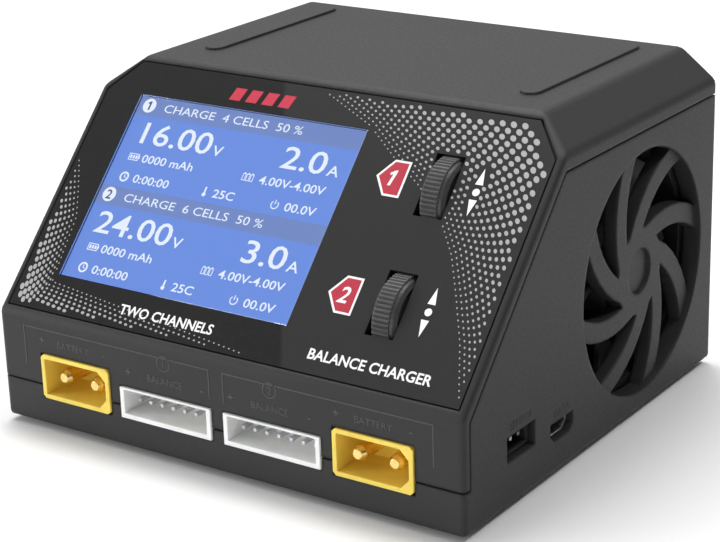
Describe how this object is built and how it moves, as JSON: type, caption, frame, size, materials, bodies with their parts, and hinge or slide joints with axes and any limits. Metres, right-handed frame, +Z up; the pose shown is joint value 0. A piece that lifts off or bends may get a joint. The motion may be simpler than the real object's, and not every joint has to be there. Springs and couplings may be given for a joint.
{
  "type": "balance battery charger",
  "caption": "Console-shaped bench charger with a sloping front panel, screen, two push-and-turn wheels, front battery and balance sockets and a side fan.",
  "frame": {"origin": "on the table under the middle of the object's box", "axes": "+X to the right, across the front; +Y from the front to the back; +Z up"},
  "size_m": [0.098, 0.0886, 0.0614],
  "materials": {
    "case_plastic": "fine satin texture",
    "panel_plastic": "fine satin texture",
    "overlay_sheet": "satin printed film",
    "clear_window": "clear film",
    "lcd_glass": "lit blue display",
    "circuit_board": "solder mask",
    "wheel_rubber": "ribbed",
    "steel": "plated",
    "dark_plastic": "moulded",
    "socket_yellow": "nylon",
    "gold_pin": "gold plated",
    "socket_white": "nylon",
    "copper": "enamelled copper or bronze",
    "aluminium": "extruded",
    "ferrite": "ferrite with tape",
    "can_sleeve": "sleeved can",
    "foot_rubber": "soft",
    "ribbon": "lead insulation"
  },
  "bodies": {
    "case": {"balance_pins_1": "steel", "balance_pins_2": "steel", "balance_socket_1": "socket_white", "balance_socket_2": "socket_white", "battery_1_minus_pin": "gold_pin", "battery_1_plus_pin": "gold_pin", "battery_2_minus_pin": "gold_pin", "battery_2_plus_pin": "gold_pin", "battery_socket_1": "socket_yellow", "battery_socket_2": "socket_yellow", "board_screw_1": "steel", "board_screw_2": "steel", "bottom_case": "case_plastic", "buzzer": "dark_plastic", "capacitor": "can_sleeve", "case_screw_1": "steel", "case_screw_2": "steel", "case_screw_3": "steel", "case_screw_4": "steel", "data_socket": "steel", "display_board": "circuit_board", "display_lead": "ribbon", "fan_bearing": "copper", "fan_frame": "dark_plastic", "fan_lead": "dark_plastic", "fan_stator": "copper", "foot_1": "foot_rubber", "foot_2": "foot_rubber", "foot_3": "foot_rubber", "foot_4": "foot_rubber", "front_overlay": "overlay_sheet", "heat_sink": "aluminium", "inductor": "copper", "lcd_panel": "lcd_glass", "main_board": "circuit_board", "mains_inlet": "dark_plastic", "mains_live_pin": "steel", "mains_neutral_pin": "steel", "power_board": "circuit_board", "rear_panel": "panel_plastic", "screen_window": "clear_window", "sensor_pins": "steel", "sensor_socket": "case_plastic", "supply_minus_pin": "gold_pin", "supply_plus_pin": "gold_pin", "supply_socket": "socket_yellow", "top_cover": "case_plastic", "transformer": "ferrite", "wheel_switch_1": "dark_plastic", "wheel_switch_2": "dark_plastic"},
    "wheel_1": {"wheel_1": "wheel_rubber"},
    "wheel_2": {"wheel_2": "wheel_rubber"},
    "wheel_1_yoke": {"wheel_yoke_1": "dark_plastic", "wheel_axle_1": "steel", "switch_plunger_1": "steel"},
    "wheel_2_yoke": {"wheel_yoke_2": "dark_plastic", "wheel_axle_2": "steel", "switch_plunger_2": "steel"},
    "fan_rotor": {"fan_rotor": "panel_plastic", "fan_shaft": "steel"}
  },
  "joints": [
    {"name": "wheel_1_press", "type": "slide", "parent": "case", "child": "wheel_1_yoke", "axis": [0, 0.7298, -0.6836], "range_m": [0, 0.0005], "stiffness_N_per_m": 600},
    {"name": "wheel_1_spin", "type": "hinge", "parent": "wheel_1_yoke", "child": "wheel_1", "pos_m": [0.0286, -0.01408, 0.04554], "axis": [1, 0, 0], "continuous": true},
    {"name": "wheel_2_press", "type": "slide", "parent": "case", "child": "wheel_2_yoke", "axis": [0, 0.7298, -0.6836], "range_m": [0, 0.0005], "stiffness_N_per_m": 600},
    {"name": "wheel_2_spin", "type": "hinge", "parent": "wheel_2_yoke", "child": "wheel_2", "pos_m": [0.0286, -0.02905, 0.02956], "axis": [1, 0, 0], "continuous": true},
    {"name": "fan_spin", "type": "hinge", "parent": "case", "child": "fan_rotor", "pos_m": [0.0401, 0.0168, 0.0269], "axis": [1, 0, 0], "continuous": true}
  ]
}
